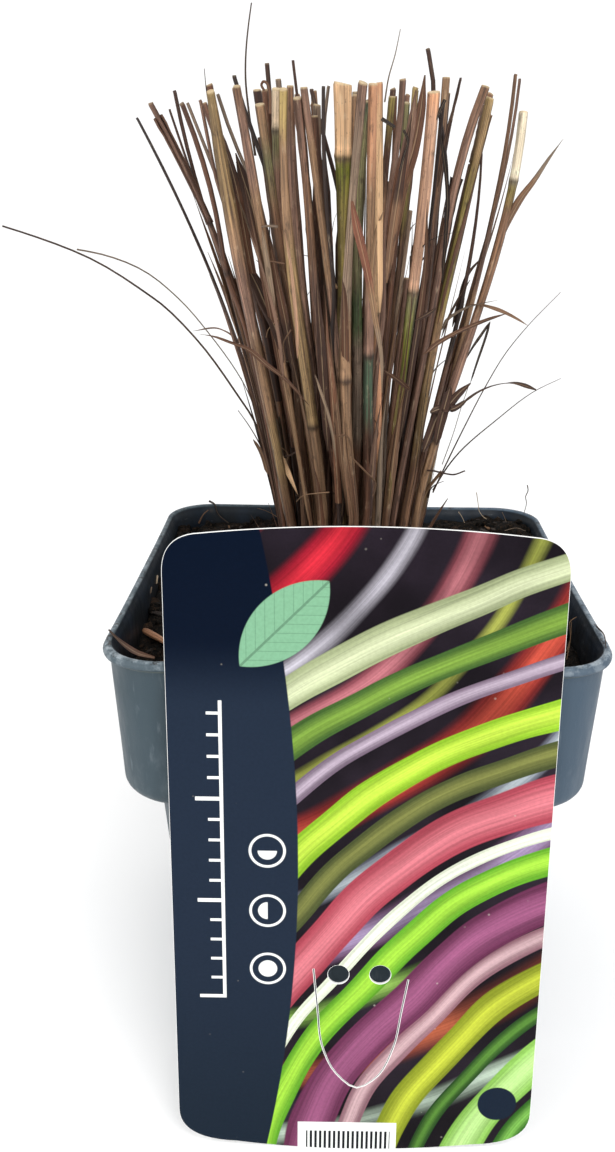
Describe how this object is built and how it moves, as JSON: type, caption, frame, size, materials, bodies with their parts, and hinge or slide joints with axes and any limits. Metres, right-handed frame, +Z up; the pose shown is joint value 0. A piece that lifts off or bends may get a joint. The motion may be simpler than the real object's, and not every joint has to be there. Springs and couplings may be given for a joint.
{
  "type": "potted ornamental grass",
  "caption": "Clump of dry upright ornamental grass, cut level above the soil of a square nursery pot, with a printed card label that leans on the rim.",
  "frame": {"origin": "middle of the pot's flat base, on the surface that it stands on", "axes": "+Z up along the pot's axis; -Y is the front, the side that the label leans on; +X is right seen from the front"},
  "size_m": [0.1061, 0.1099, 0.201],
  "materials": {
    "pot_plastic": "satin, scuffed",
    "soil": "rough, crumbly",
    "label_card": "gloss print on white card",
    "dry_straw": "matt",
    "dry_leaf": "matt, dry",
    "grass_culm": "satin straw"
  },
  "bodies": {
    "root": {"pot": "pot_plastic", "soil": "soil", "label": "label_card", "straw_bit": "dry_straw", "dry_leaf": "dry_leaf", "tiller_01": "grass_culm", "tiller_02": "grass_culm", "tiller_03": "grass_culm", "tiller_04": "grass_culm", "tiller_05": "grass_culm", "tiller_06": "grass_culm", "tiller_07": "grass_culm", "tiller_08": "grass_culm", "tiller_09": "grass_culm", "tiller_10": "grass_culm", "tiller_11": "grass_culm", "tiller_12": "grass_culm", "tiller_13": "grass_culm", "tiller_14": "grass_culm", "tiller_15": "grass_culm", "tiller_16": "grass_culm", "tiller_17": "grass_culm", "tiller_18": "grass_culm", "tiller_19": "grass_culm"}
  },
  "joints": []
}
